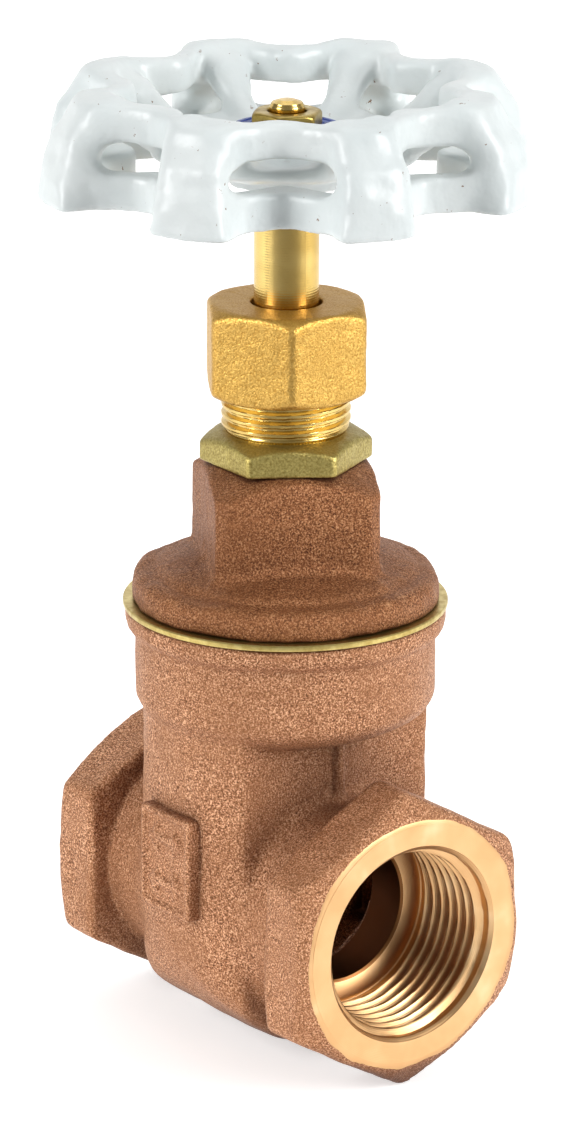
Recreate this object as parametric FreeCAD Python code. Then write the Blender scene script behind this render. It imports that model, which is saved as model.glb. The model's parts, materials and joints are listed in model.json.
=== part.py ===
import FreeCAD, Part
import math
import os

# Bronze gate valve with a non-rising stem, 3/4 inch taper pipe ends, all in millimetres.
# The flow axis is X, the stem axis is Z, and the raised flow pad faces -Y.
# The origin is on the stem axis, level with the lowest corners of the wrench hexagons.
# The valve is drawn fully open.

# Port hexagons and pipe threads
half_length = 28.5           # stem axis to a port face
hex_corner_radius = 20.75    # wrench hexagon, axis to sharp corner
hex_corner_round = 1.8
hex_back = 20.0              # where the hexagon starts along X
hex_back_radius = 17.4       # round foot of the domed back of the hexagon
port_face_radius = 17.0      # machined ring around the pipe thread
face_set_back = 2.2          # how far the cast corners sit behind the machined face
pipe_pitch = 25.4 / 14
pipe_crest_radius = 11.85
pipe_groove_depth = 0.75     # the thread is drawn as narrow ring grooves with flat crests
pipe_groove_width = 0.48
pipe_grooves = 6
mouth_radius = 13.5
mouth_depth = 1.3
lead_in_length = 0.7         # tapered start of the thread
relief_radius = 12.8
relief_width = 1.9
neck_radius = 15.6
waterway_radius = 9.7

# Heights
port_height = hex_corner_radius - hex_corner_round * (1 / math.cos(math.pi / 6) - 1)
collar_bottom = 46.8
collar_top = 57.0
body_top = 61.1

# Body
housing_radius = 18.9
housing_half_width = 11.8    # half width along X of the flattened gate housing
housing_edge_round = 2.0
bottom_radius = 19.3
collar_radius = 20.0
flange_radius = 21.3
land_radius = 21.6           # machined edge of the joint face
land_height = 0.8
pocket_half_width = 8.2      # inside of the gate pocket along X
pocket_half_depth = 13.0     # inside of the gate pocket along Y
pocket_floor = 6.4
pocket_corner_round = 3.5
guide_half_width = 1.8
guide_reach = 14.8
guide_floor = 12.4
bonnet_bore_radius = 17.3
bonnet_bore_bottom = 52.0
seat_ring_radius = 12.3
seam_width = 1.3
seam_height = 0.7

# Raised flow pad
pad_half_width = 5.5
pad_height = 14.2
pad_rise = 0.9
pad_border = 0.9
pad_recess = 0.5

# Wedge
wedge_radius = 12.2
wedge_half_thickness = 6.0
wedge_taper = math.radians(4)
seat_gap = 0.1
wedge_travel = 22.0
wedge_boss_radius = 6.0
wedge_boss_height = 19.0     # top of the boss above the wedge centre
wedge_ear_half_width = 1.5
wedge_ear_reach = 14.4
nut_length = 6.5             # threaded length in the wedge boss
wedge_hole_radius = 3.75     # clears the stem below the thread
lead_in = 0.6

# Stem
stem_radius = 4.28
stem_thread_radius = 3.4
stem_core_radius = 2.6
stem_pitch = 3.175
stem_thread_start = 34.7
stem_rib_root = 0.62         # width of the thread at its root and crest, in pitches
stem_rib_crest = 0.38
stem_tip = 33.5
stem_thread_top = 66.0
stem_collar_radius = 6.6
stem_collar_bottom = 74.2
stem_collar_height = 2.6
stem_square = 6.6
stem_shoulder = 118.6
stem_square_top = 123.9
stem_end_radius = 2.55
stem_top = 128.6
stem_end_pitch = 0.8
stem_end_groove = 0.4
running_gap = 0.06
square_gap = 0.05
resting_gap = 0.02           # between two pieces that lie on each other
thread_gap = 0.15

# Bonnet
bonnet_radius = 20.45
bonnet_rim_height = 3.9
bonnet_spigot_radius = 17.2
bonnet_spigot_bottom = 55.6
bonnet_dome_bottom = 65.6
bonnet_dome_radius = 17.2
bonnet_block_bottom = 66.0
bonnet_block_half = 11.0
bonnet_block_round = 1.2
bonnet_block_turn = -26.3
bonnet_corner_reach = 15.2   # the turned roof trims the block's corners to this radius
bonnet_crown_radius = 10.9
bonnet_shoulder = 77.2
bonnet_top = 80.2
bonnet_cavity_radius = 14.9
bonnet_cavity_top = 63.2
bonnet_neck_cavity_radius = 8.6
bonnet_neck_cavity_top = 71.0
bonnet_ledge = 74.1
box_socket_radius = 7.9

# Stuffing box
box_shank_radius = 7.85
box_shank_bottom = 77.0
box_hex_corner = 11.55
box_hex_top = 84.0
box_hex_turn = -2.0
box_neck_radius = 8.54
box_neck_root = 7.95
box_neck_top = 94.3
box_neck_pitch = 1.27
neck_thread_start = 83.492
neck_rib_root = 0.85         # width of the thread at its root and crest, in pitches
neck_rib_crest = 0.3
nut_groove_root = 0.5        # width of the packing nut's groove where it is deepest, in pitches
packing_bore_radius = 7.0
packing_floor = 84.6

# Packing, gland and packing nut
packing_rings = 4
packing_ring_height = 1.7
packing_ring_chamfer = 0.25
packing_gap = 0.02
gland_sleeve_radius = 6.9
gland_flange_radius = 7.8
gland_flange_bottom = 97.0
gland_top = 99.8
packing_nut_corner = 11.7
packing_nut_bottom = 89.35
packing_nut_top = 101.65
packing_nut_turn = 27.7
packing_nut_hole = 4.75
nut_bore_radius = 8.1
nut_thread_top = 95.2
nut_cap_radius = 8.75

# Handwheel
lobes = 8
first_lobe = -14.8           # angle of one lobe from +X, in degrees
wheel_bottom = 117.3
lower_bar_height = 4.2
upper_bar_bottom = 125.3
upper_bar_height = 4.1
lobe_radius = 32.1
lobe_width = 9.4
lobe_inner = 23.5
lobe_top = 131.2
lobe_top_round = 6.0
lobe_side_round = 2.6
lower_outer = (27.2, 4.2)    # mean radius and swing of a scalloped outline
lower_inner = (21.6, 2.6)
upper_outer = (26.4, 3.0)
upper_inner = (20.6, 1.6)
spoke_width = 6.2
spoke_underside = [(5.5, 119.0), (10, 119.6), (16, 121.6), (20.5, 124.4), (25, 125.4)]
spoke_upperside = [(25, 130.5), (21, 129.9), (15, 125.9), (9, 123.6), (5.5, 123.2)]
web_underside = [(4, 119.0), (10, 119.4), (15, 120.6), (17.9, 122.4)]
web_upperside = [(17.3, 123.6), (14, 122.4), (9, 121.4), (4, 121.2)]
hub_radius = 8.0
hub_top = 124.4

# Plate and handwheel nut
plate_radius = 7.4
plate_thickness = 0.5
wheel_nut_half = 4.2
wheel_nut_height = 2.2
wheel_nut_turn = 10

X = FreeCAD.Vector(1, 0, 0)
Y = FreeCAD.Vector(0, 1, 0)
Z = FreeCAD.Vector(0, 0, 1)
ORIGIN = FreeCAD.Vector(0, 0, 0)
PORT = FreeCAD.Vector(0, 0, port_height)


def vec(x, y, z):
    return FreeCAD.Vector(x, y, z)


def closed_face(points):
    return Part.Face(Part.makePolygon(points + [points[0]]))


def turned(profile):
    """Solid of revolution about Z from (radius, height) points."""
    return closed_face([vec(r, 0, z) for r, z in profile]).revolve(ORIGIN, Z, 360)


def turned_about_port(profile):
    """Solid of revolution about the flow axis from (x, radius) points."""
    return closed_face([vec(x, 0, port_height + r) for x, r in profile]).revolve(PORT, X, 360)


def disc(radius, bottom, top):
    return Part.makeCylinder(radius, top - bottom, vec(0, 0, bottom))


def block(x0, x1, y0, y1, z0, z1):
    return Part.makeBox(x1 - x0, y1 - y0, z1 - z0, vec(x0, y0, z0))


def fuse_all(shapes):
    return shapes[0].multiFuse(shapes[1:]).removeSplitter()


def both_ends(shape):
    """A shape on the +X side with its mirror image on the -X side."""
    return [shape, shape.mirror(ORIGIN, X)]


def hexagon(corner_radius, bottom, top, turn):
    """Upright hexagonal prism with its first corner turned from +X by turn degrees."""
    corners = []
    for i in range(6):
        angle = math.radians(turn + 60 * i)
        corners.append(vec(corner_radius * math.cos(angle), corner_radius * math.sin(angle), bottom))
    return closed_face(corners).extrude(vec(0, 0, top - bottom))


def rounded(shape, radius, wanted):
    """Round the edges for which wanted(edge) is true."""
    return shape.makeFillet(radius, [edge for edge in shape.Edges if wanted(edge)])


def along(edge, direction):
    """True for a straight edge that runs along the direction."""
    if not isinstance(edge.Curve, Part.Line):
        return False
    return abs(abs(edge.Curve.Direction.dot(direction)) - 1) < 1e-6


def helical_rib(root, crest, pitch, root_width, crest_width, bottom, turns, left_handed):
    """A trapezoid rib swept along a helix about Z."""
    path = Part.makeHelix(pitch, pitch * turns, root, 0, left_handed)
    section = Part.makePolygon([
        vec(root, 0, -root_width / 2),
        vec(crest, 0, -crest_width / 2),
        vec(crest, 0, crest_width / 2),
        vec(root, 0, root_width / 2),
        vec(root, 0, -root_width / 2),
    ])
    rib = Part.Wire(path).makePipeShell([section], True, True)
    rib.translate(vec(0, 0, bottom))
    return rib


# ---------------------------------------------------------------- body

def port_hexagon():
    """One wrench hexagon with rounded corners and domed cast ends."""
    prism = hexagon(hex_corner_radius, hex_back, half_length, 0)
    prism = rounded(prism, hex_corner_round, lambda edge: along(edge, Z))
    prism.rotate(ORIGIN, Y, 90)
    prism.translate(PORT)
    dome = turned_about_port([
        (hex_back, 0),
        (hex_back, hex_back_radius),
        (hex_back + 1.6, hex_corner_radius + 0.4),
        (half_length - face_set_back - 0.4, hex_corner_radius + 0.4),
        (half_length - face_set_back + 0.5, hex_corner_radius - 1.6),
        (half_length - 0.9, port_face_radius + 0.9),
        (half_length, port_face_radius),
        (half_length, 0),
    ])
    return prism.common(dome)


def neck():
    """Round neck between the housing and a hexagon, flared at both ends."""
    start = housing_half_width - 2
    return turned_about_port([
        (start, 0),
        (start, neck_radius + 0.9),
        (housing_half_width, neck_radius + 0.9),
        (housing_half_width + 1.0, neck_radius + 0.2),
        (housing_half_width + 2.2, neck_radius),
        (hex_back - 1.6, neck_radius),
        (hex_back - 0.6, neck_radius + 0.2),
        (hex_back + 0.2, neck_radius + 0.9),
        (hex_back + 0.2, 0),
    ])


def gate_housing():
    """Vertical barrel with flattened sides and a round bottom."""
    barrel = disc(housing_radius, -5, collar_top)
    cradle = Part.makeCylinder(bottom_radius, 60, PORT - X * 30, X)
    cradle = cradle.fuse(block(-30, 30, -bottom_radius, bottom_radius, port_height, collar_top))
    flats = block(-housing_half_width, housing_half_width, -30, 30, -5, collar_top)
    housing = barrel.common(cradle).common(flats)

    def side_edge(edge):
        box = edge.BoundBox
        flat = box.XLength < 1e-4 and abs(abs(box.XMin) - housing_half_width) < 1e-4
        return flat and box.ZMax - box.ZMin > 1

    return rounded(housing, housing_edge_round, side_edge)


def upper_collar():
    """Round collar, cast flange and machined land that carry the bonnet."""
    return turned([
        (0, collar_bottom - 6.5),
        (11.0, collar_bottom - 6.5),
        (15.5, collar_bottom - 4.6),
        (18.4, collar_bottom - 2.4),
        (collar_radius - 0.3, collar_bottom + 0.2),
        (collar_radius, collar_bottom + 2.2),
        (collar_radius, collar_top - 0.9),
        (collar_radius + 0.4, collar_top - 0.3),
        (flange_radius - 0.4, collar_top),
        (flange_radius, collar_top + 0.5),
        (flange_radius, body_top - land_height),
        (land_radius, body_top - land_height),
        (land_radius, body_top),
        (0, body_top),
    ])


def flow_pad():
    """Raised pad with a border and a double-ended flow arrow."""
    face = -(housing_radius + pad_rise)
    low = port_height
    high = port_height + pad_height
    pad = block(-pad_half_width, pad_half_width, face, -housing_radius + 2, low, high)
    pad = pad.cut(block(-pad_half_width + pad_border, pad_half_width - pad_border,
                        face - 1, face + pad_recess, low + pad_border, high - pad_border))
    middle = (low + high) / 2
    outline = [(-3.8, 0), (-1.9, 1.7), (-1.9, 0.6), (1.9, 0.6), (1.9, 1.7),
               (3.8, 0), (1.9, -1.7), (1.9, -0.6), (-1.9, -0.6), (-1.9, -1.7)]
    shapes = [pad]
    for lift in (-3.3, 3.3):
        arrow = closed_face([vec(x, face, middle + lift + z) for x, z in outline])
        shapes.append(arrow.extrude(vec(0, pad_recess + 0.3, 0)))
    return fuse_all(shapes)


def casting_seam():
    """Parting line left on the end of the housing, above a neck."""
    x = housing_half_width
    return block(x - 1, x + seam_height, -seam_width / 2, seam_width / 2,
                 port_height + neck_radius - 1, collar_bottom - 3)


def port_bore():
    """Everything that is bored from one end: mouth, thread grooves, relief and waterway."""
    mouth_end = half_length - mouth_depth
    thread_start = mouth_end - lead_in_length
    profile = [
        (half_length + 1, 0),
        (half_length + 1, mouth_radius + 0.9),
        (half_length, mouth_radius + 0.1),
        (mouth_end, pipe_crest_radius + pipe_groove_depth),
        (thread_start, pipe_crest_radius),
    ]
    for i in range(pipe_grooves):
        groove_start = thread_start - pipe_pitch * (i + 1) + pipe_groove_width
        profile += [
            (groove_start, pipe_crest_radius),
            (groove_start - pipe_groove_width / 2, pipe_crest_radius + pipe_groove_depth),
            (groove_start - pipe_groove_width, pipe_crest_radius),
        ]
    thread_end = thread_start - pipe_pitch * (pipe_grooves + 1) + pipe_groove_width
    shoulder = thread_end - relief_width
    profile += [
        (thread_end, pipe_crest_radius),
        (thread_end - 0.3, relief_radius),
        (shoulder, relief_radius),
        (shoulder, waterway_radius + 0.3),
        (shoulder - 0.3, waterway_radius),
        (0, waterway_radius),
        (0, 0),
    ]
    return turned_about_port(profile)


def tapered_slab(extra, half_depth, low, high):
    """A block between the two slanted seat planes, which sit extra further out than the wedge's."""
    half = wedge_half_thickness + extra
    slope = math.tan(wedge_taper)
    low_half = half + (low - port_height) * slope
    high_half = half + (high - port_height) * slope
    outline = [vec(-low_half, -half_depth, low), vec(low_half, -half_depth, low),
               vec(high_half, -half_depth, high), vec(-high_half, -half_depth, high)]
    return closed_face(outline).extrude(vec(0, 2 * half_depth, 0))


def rounded_pocket(half_width, half_depth, low, high):
    """The gate pocket: round bottomed, with rounded upright corners."""
    sides = block(-half_width, half_width, -half_depth, half_depth, port_height, high)
    sides = rounded(sides, pocket_corner_round, lambda edge: along(edge, Z))
    start = vec(-half_width, 0, port_height)
    bottom = Part.makeCylinder(port_height - low, 2 * half_width, start, X)
    narrow = block(-half_width, half_width, -half_depth, half_depth, 0, port_height + 1)
    return sides.fuse(bottom.common(narrow))


def make_body():
    solid = fuse_all([gate_housing(), upper_collar(), flow_pad()]
                     + both_ends(port_hexagon()) + both_ends(neck()) + both_ends(casting_seam()))
    pocket = rounded_pocket(pocket_half_width, pocket_half_depth, pocket_floor, body_top)
    solid = solid.cut(pocket)
    ring_start = PORT - X * (pocket_half_width + 0.5)
    rings = Part.makeCylinder(seat_ring_radius, 2 * pocket_half_width + 1, ring_start, X)
    rings = rings.cut(tapered_slab(seat_gap, 20, 0, collar_bottom))
    solid = solid.fuse(rings)
    solid = solid.cut(block(-guide_half_width, guide_half_width, -guide_reach, guide_reach,
                            guide_floor, body_top))
    solid = solid.cut(disc(bonnet_bore_radius, bonnet_bore_bottom, body_top + 1))
    for bore in both_ends(port_bore()):
        solid = solid.cut(bore)
    return solid.removeSplitter()


# ---------------------------------------------------------------- wedge

def boss_thread(bottom):
    """The groove cut in the wedge boss, in step with the stem thread when the wedge is closed."""
    steps = math.ceil((bottom - stem_thread_start) / stem_pitch) - 2
    root_width = stem_pitch * stem_rib_root + 2 * thread_gap
    crest_width = stem_pitch * stem_rib_crest + 2 * thread_gap
    return helical_rib(stem_core_radius + thread_gap - 0.1, stem_thread_radius + thread_gap, stem_pitch,
                       root_width, crest_width, stem_thread_start + steps * stem_pitch,
                       math.ceil(nut_length / stem_pitch) + 2, True)


def make_wedge():
    """The gate, drawn closed and then lifted to its open place."""
    gate = Part.makeCylinder(wedge_radius, 30, PORT - X * 15, X)
    gate = gate.common(tapered_slab(0, 20, 0, collar_bottom))
    ears = block(-wedge_ear_half_width, wedge_ear_half_width, -wedge_ear_reach, wedge_ear_reach,
                 port_height - 4, port_height + 5)
    boss_top = port_height + wedge_boss_height
    boss = disc(wedge_boss_radius, port_height + 2, boss_top)
    gate = fuse_all([gate, ears, boss])
    hole_bottom = stem_tip - wedge_travel - 1.0
    gate = gate.cut(disc(wedge_hole_radius, hole_bottom, boss_top - nut_length))
    gate = gate.cut(disc(stem_core_radius + thread_gap, boss_top - nut_length - 1, boss_top + 1))
    gate = gate.cut(boss_thread(boss_top - nut_length))
    gate = gate.cut(turned([
        (0, boss_top - lead_in),
        (stem_core_radius, boss_top - lead_in),
        (stem_thread_radius + 0.4, boss_top + 0.2),
        (0, boss_top + 0.2),
    ]))
    gate.translate(vec(0, 0, wedge_travel))
    return gate


# ---------------------------------------------------------------- stem

def make_stem():
    core = disc(stem_core_radius, stem_tip, stem_thread_top + 1)
    turns = (stem_thread_top - stem_thread_start) / stem_pitch
    rib = helical_rib(stem_core_radius - 0.15, stem_thread_radius, stem_pitch, stem_pitch * stem_rib_root,
                      stem_pitch * stem_rib_crest, stem_thread_start, turns, True)
    thrust_top = stem_collar_bottom + stem_collar_height
    shank = turned([
        (0, stem_thread_top - 0.8),
        (stem_thread_radius + 0.2, stem_thread_top - 0.8),
        (stem_thread_radius + 0.2, stem_thread_top + 1.4),
        (stem_radius, stem_thread_top + 2.2),
        (stem_radius, stem_collar_bottom),
        (stem_collar_radius, stem_collar_bottom),
        (stem_collar_radius, thrust_top),
        (stem_radius, thrust_top),
        (stem_radius, stem_shoulder),
        (0, stem_shoulder),
    ])
    half = stem_square / 2
    square = block(-half, half, -half, half, stem_shoulder - 0.5, stem_square_top)
    square = square.common(disc(stem_radius, stem_shoulder - 0.5, stem_square_top))
    return fuse_all([core.fuse(rib), shank, square, stem_end()])


def stem_end():
    """Threaded end for the handwheel nut, with a domed tip. Its thread is drawn as rings."""
    low = stem_square_top - 0.5
    root = stem_end_radius - stem_end_groove
    profile = [(0, low), (root, low)]
    count = int((stem_top - 1.3 - low) / stem_end_pitch)
    for i in range(count):
        z = low + stem_end_pitch * (i + 0.15)
        profile += [
            (root, z),
            (stem_end_radius, z + 0.25),
            (stem_end_radius, z + 0.4),
            (root, z + 0.65),
        ]
    profile += [
        (stem_end_radius - 0.2, stem_top - 1.0),
        (stem_end_radius - 0.55, stem_top - 0.4),
        (stem_end_radius - 1.45, stem_top - 0.08),
        (0, stem_top),
    ]
    return turned(profile)


# ---------------------------------------------------------------- bonnet and packing

def make_bonnet():
    shell = turned([
        (0, body_top),
        (bonnet_radius - 0.3, body_top),
        (bonnet_radius, body_top + 0.6),
        (bonnet_radius - 0.1, body_top + 2.2),
        (bonnet_radius - 0.8, body_top + 3.3),
        (bonnet_radius - 2.0, body_top + bonnet_rim_height),
        (bonnet_dome_radius + 0.3, body_top + bonnet_rim_height + 0.3),
        (bonnet_dome_radius - 0.6, bonnet_dome_bottom + 0.4),
        (bonnet_dome_radius - 3.7, bonnet_dome_bottom + 1.8),
        (bonnet_block_half, bonnet_dome_bottom + 3.0),
        (box_socket_radius + 0.1, bonnet_dome_bottom + 6),
        (box_socket_radius + 0.1, bonnet_top - 2),
        (0, bonnet_top - 2),
    ])
    spigot = disc(bonnet_spigot_radius, bonnet_spigot_bottom, body_top + 0.5)
    return fuse_all([shell, bonnet_block(), spigot]).cut(bonnet_cavity())


def bonnet_block():
    """The square wrench block, rounded off above its shoulder."""
    half = bonnet_block_half
    square = block(-half, half, -half, half, bonnet_block_bottom, bonnet_top)
    square = rounded(square, bonnet_block_round, lambda edge: along(edge, Z))
    square.rotate(ORIGIN, Z, bonnet_block_turn)
    roof = turned([
        (0, bonnet_block_bottom - 1),
        (bonnet_corner_reach, bonnet_block_bottom - 1),
        (bonnet_corner_reach, bonnet_shoulder - 0.9),
        (bonnet_corner_reach - 1.8, bonnet_shoulder + 0.4),
        (bonnet_crown_radius + 0.7, bonnet_top - 0.5),
        (bonnet_crown_radius, bonnet_top),
        (0, bonnet_top),
    ])
    return square.common(roof)


def bonnet_cavity():
    """The hollow over the wedge, the stem hole and the socket for the stuffing box."""
    stem_hole = stem_radius + running_gap
    return turned([
        (0, bonnet_spigot_bottom - 1),
        (bonnet_cavity_radius, bonnet_spigot_bottom - 1),
        (bonnet_cavity_radius, bonnet_cavity_top - 2),
        (bonnet_cavity_radius - 2, bonnet_cavity_top),
        (bonnet_neck_cavity_radius, bonnet_cavity_top + 3),
        (bonnet_neck_cavity_radius, bonnet_neck_cavity_top - 2),
        (bonnet_neck_cavity_radius - 3, bonnet_neck_cavity_top),
        (stem_hole, bonnet_neck_cavity_top),
        (stem_hole, bonnet_ledge),
        (box_socket_radius, bonnet_ledge),
        (box_socket_radius, bonnet_top + 1),
        (0, bonnet_top + 1),
    ])


def make_stuffing_box():
    shoulder = bonnet_top + resting_gap
    hexagonal = hexagon(box_hex_corner, shoulder, box_hex_top, box_hex_turn)
    flat = box_hex_corner * math.cos(math.pi / 6)
    hexagonal = hexagonal.common(turned([
        (0, shoulder),
        (flat + 0.9, shoulder),
        (box_hex_corner + 0.1, shoulder + 0.5),
        (box_hex_corner + 0.1, box_hex_top - 1.0),
        (flat - 0.3, box_hex_top),
        (0, box_hex_top),
    ]))
    core = turned([
        (0, box_shank_bottom),
        (box_shank_radius, box_shank_bottom),
        (box_shank_radius, shoulder + 0.5),
        (box_neck_root, box_hex_top - 1),
        (box_neck_root, box_neck_top),
        (0, box_neck_top),
    ])
    solid = fuse_all([hexagonal, core, neck_thread()])
    stem_hole = stem_radius + running_gap
    bore = turned([
        (0, box_shank_bottom - 1),
        (stem_hole, box_shank_bottom - 1),
        (stem_hole, packing_floor),
        (packing_bore_radius, packing_floor),
        (packing_bore_radius, box_neck_top + 1),
        (0, box_neck_top + 1),
    ])
    return solid.cut(bore)


def neck_thread():
    """The thread that carries the packing nut, tapered away at its top."""
    turns = (box_neck_top - box_hex_top) / box_neck_pitch + 1
    rib = helical_rib(box_neck_root - 0.1, box_neck_radius, box_neck_pitch, box_neck_pitch * neck_rib_root,
                      box_neck_pitch * neck_rib_crest, neck_thread_start, turns, False)
    envelope = turned([
        (0, box_hex_top - 0.5),
        (box_neck_radius + 1, box_hex_top - 0.5),
        (box_neck_radius + 0.1, box_neck_top - 0.7),
        (box_neck_root - 0.1, box_neck_top),
        (0, box_neck_top),
    ])
    return rib.common(envelope)


def make_packing_ring(index):
    low = packing_floor + packing_gap + index * (packing_ring_height + packing_gap)
    inner = stem_radius + packing_gap
    outer = packing_bore_radius - packing_gap
    chamfer = packing_ring_chamfer
    high = low + packing_ring_height
    return turned([
        (inner, low),
        (outer - chamfer, low),
        (outer, low + chamfer),
        (outer, high - chamfer),
        (outer - chamfer, high),
        (inner, high),
    ])


def make_packing_gland():
    low = packing_floor + packing_rings * (packing_ring_height + packing_gap) + 2 * packing_gap
    inner = stem_radius + running_gap
    return turned([
        (inner, low),
        (gland_sleeve_radius, low),
        (gland_sleeve_radius, gland_flange_bottom),
        (gland_flange_radius, gland_flange_bottom),
        (gland_flange_radius, gland_top - 0.6),
        (gland_flange_radius - 0.6, gland_top),
        (inner, gland_top),
    ])


def make_packing_nut():
    flat = packing_nut_corner * math.cos(math.pi / 6)
    prism = hexagon(packing_nut_corner, packing_nut_bottom, packing_nut_top, packing_nut_turn)
    prism = prism.common(turned([
        (0, packing_nut_bottom),
        (flat - 0.2, packing_nut_bottom),
        (packing_nut_corner + 0.1, packing_nut_bottom + 1.1),
        (packing_nut_corner + 0.1, packing_nut_top - 1.4),
        (flat - 0.25, packing_nut_top),
        (0, packing_nut_top),
    ]))
    inside = turned([
        (0, packing_nut_bottom - 1),
        (box_neck_radius + 1.2, packing_nut_bottom - 1),
        (nut_bore_radius, packing_nut_bottom + 0.6),
        (nut_bore_radius, nut_thread_top),
        (nut_cap_radius, nut_thread_top + 0.3),
        (nut_cap_radius, gland_top + 0.05),
        (packing_nut_hole, gland_top + 0.05),
        (packing_nut_hole, packing_nut_top + 1),
        (0, packing_nut_top + 1),
    ])
    solid = prism.cut(inside)
    steps = math.floor((packing_nut_bottom - neck_thread_start) / box_neck_pitch) - 1
    start = neck_thread_start + steps * box_neck_pitch
    turns = (nut_thread_top - start) / box_neck_pitch
    groove = helical_rib(nut_bore_radius - 0.12, box_neck_radius + 0.1, box_neck_pitch,
                         box_neck_pitch * neck_rib_root, box_neck_pitch * nut_groove_root,
                         start, turns, False)
    return solid.cut(groove)


# ---------------------------------------------------------------- handwheel

def scalloped(outline, low, height):
    """A plate whose edge swings in and out once for each lobe."""
    mean, swing = outline
    points = []
    for i in range(lobes * 8):
        angle = 2 * math.pi * i / (lobes * 8)
        radius = mean + swing * math.cos(lobes * (angle - math.radians(first_lobe)))
        points.append(vec(radius * math.cos(angle), radius * math.sin(angle), low))
    edge = Part.BSplineCurve()
    edge.interpolate(points, PeriodicFlag=True)
    return Part.Face(Part.Wire(edge.toShape())).extrude(vec(0, 0, height))


def scalloped_ring(outer, inner, low, height):
    return scalloped(outer, low, height).cut(scalloped(inner, low - 1, height + 2))


def lobe():
    """One grip lobe on the +X side, rounded over its top."""
    half = lobe_width / 2
    solid = block(lobe_inner, lobe_radius, -half, half, wheel_bottom, lobe_top)

    def top_edge(edge):
        box = edge.BoundBox
        at_top = box.ZLength < 1e-4 and abs(box.ZMin - lobe_top) < 1e-4
        return at_top and box.XMin > lobe_radius - 1e-4

    def side_edge(edge):
        return along(edge, Z) and edge.BoundBox.XMin > lobe_radius - 1e-4

    solid = rounded(solid, lobe_top_round, top_edge)
    return rounded(solid, lobe_side_round, side_edge)


def spoke():
    """One arm from the hub up to the top of a lobe, on the +X side."""
    half = spoke_width / 2
    outline = spoke_underside + spoke_upperside
    return closed_face([vec(r, -half, z) for r, z in outline]).extrude(vec(0, 2 * half, 0))


def make_handwheel():
    ring_low = scalloped_ring(lower_outer, lower_inner, wheel_bottom, lower_bar_height)
    ring_high = scalloped_ring(upper_outer, upper_inner, upper_bar_bottom, upper_bar_height)
    hub = disc(hub_radius, stem_shoulder, hub_top)
    shapes = [ring_low, ring_high, hub, turned(web_underside + web_upperside)]
    for i in range(lobes):
        for piece in (lobe(), spoke()):
            piece.rotate(ORIGIN, Z, first_lobe + i * 360 / lobes)
            shapes.append(piece)
    wheel = fuse_all(shapes)
    half = stem_square / 2 + square_gap
    hole = block(-half, half, -half, half, stem_shoulder - 1, hub_top + 1)
    return wheel.cut(hole)


def make_identification_plate():
    low = hub_top + resting_gap
    hole = disc(stem_end_radius + 0.15, low - 1, low + 2)
    return disc(plate_radius, low, low + plate_thickness).cut(hole)


def make_handwheel_nut():
    low = hub_top + plate_thickness + 2 * resting_gap
    high = low + wheel_nut_height
    corner = wheel_nut_half / math.cos(math.pi / 6)
    nut = hexagon(corner, low, high, wheel_nut_turn)
    nut = nut.common(turned([
        (0, low),
        (corner + 0.1, low),
        (corner + 0.1, high - 0.7),
        (wheel_nut_half - 0.1, high),
        (0, high),
    ]))
    return nut.cut(disc(stem_end_radius + resting_gap, low - 1, high + 1))


pieces = {
    "body": make_body(),
    "wedge": make_wedge(),
    "stem": make_stem(),
    "bonnet": make_bonnet(),
    "stuffing_box": make_stuffing_box(),
    "packing_gland": make_packing_gland(),
    "packing_nut": make_packing_nut(),
    "handwheel": make_handwheel(),
    "identification_plate": make_identification_plate(),
    "handwheel_nut": make_handwheel_nut(),
}
for number in range(packing_rings):
    pieces[f"packing_ring_{number + 1}"] = make_packing_ring(number)

os.makedirs("parts", exist_ok=True)
for name, shape in pieces.items():
    shape.exportStep(f"parts/{name}.step")
    print(name, "valid" if shape.isValid() else "NOT VALID", len(shape.Solids), round(shape.Volume, 1))
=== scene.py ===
import json
import math
import bpy
import numpy as np
import openvdb
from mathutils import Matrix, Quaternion, Vector


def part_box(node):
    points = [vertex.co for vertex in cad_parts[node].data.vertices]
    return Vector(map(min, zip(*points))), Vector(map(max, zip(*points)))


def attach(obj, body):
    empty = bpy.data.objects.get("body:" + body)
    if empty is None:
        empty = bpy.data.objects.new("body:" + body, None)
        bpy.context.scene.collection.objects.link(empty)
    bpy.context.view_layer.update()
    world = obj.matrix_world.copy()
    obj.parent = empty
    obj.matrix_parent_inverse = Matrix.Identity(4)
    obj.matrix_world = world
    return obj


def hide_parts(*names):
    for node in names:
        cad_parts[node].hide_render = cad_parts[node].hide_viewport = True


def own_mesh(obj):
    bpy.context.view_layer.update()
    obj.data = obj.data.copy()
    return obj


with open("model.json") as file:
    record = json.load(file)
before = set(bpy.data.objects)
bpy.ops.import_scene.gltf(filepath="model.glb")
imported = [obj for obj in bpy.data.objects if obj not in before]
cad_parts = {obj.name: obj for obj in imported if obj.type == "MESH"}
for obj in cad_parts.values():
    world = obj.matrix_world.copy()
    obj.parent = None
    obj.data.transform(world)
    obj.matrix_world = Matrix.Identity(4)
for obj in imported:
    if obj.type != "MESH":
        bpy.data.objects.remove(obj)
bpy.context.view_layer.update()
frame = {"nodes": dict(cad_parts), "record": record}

# Shapes are worked out in millimetres, in the frame of the CAD model, and made in metres.
MM = 0.001


def box_mm(node):
    """Low and high corner of a CAD node, in millimetres."""
    return [[value / MM for value in corner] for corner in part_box(node)]


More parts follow.
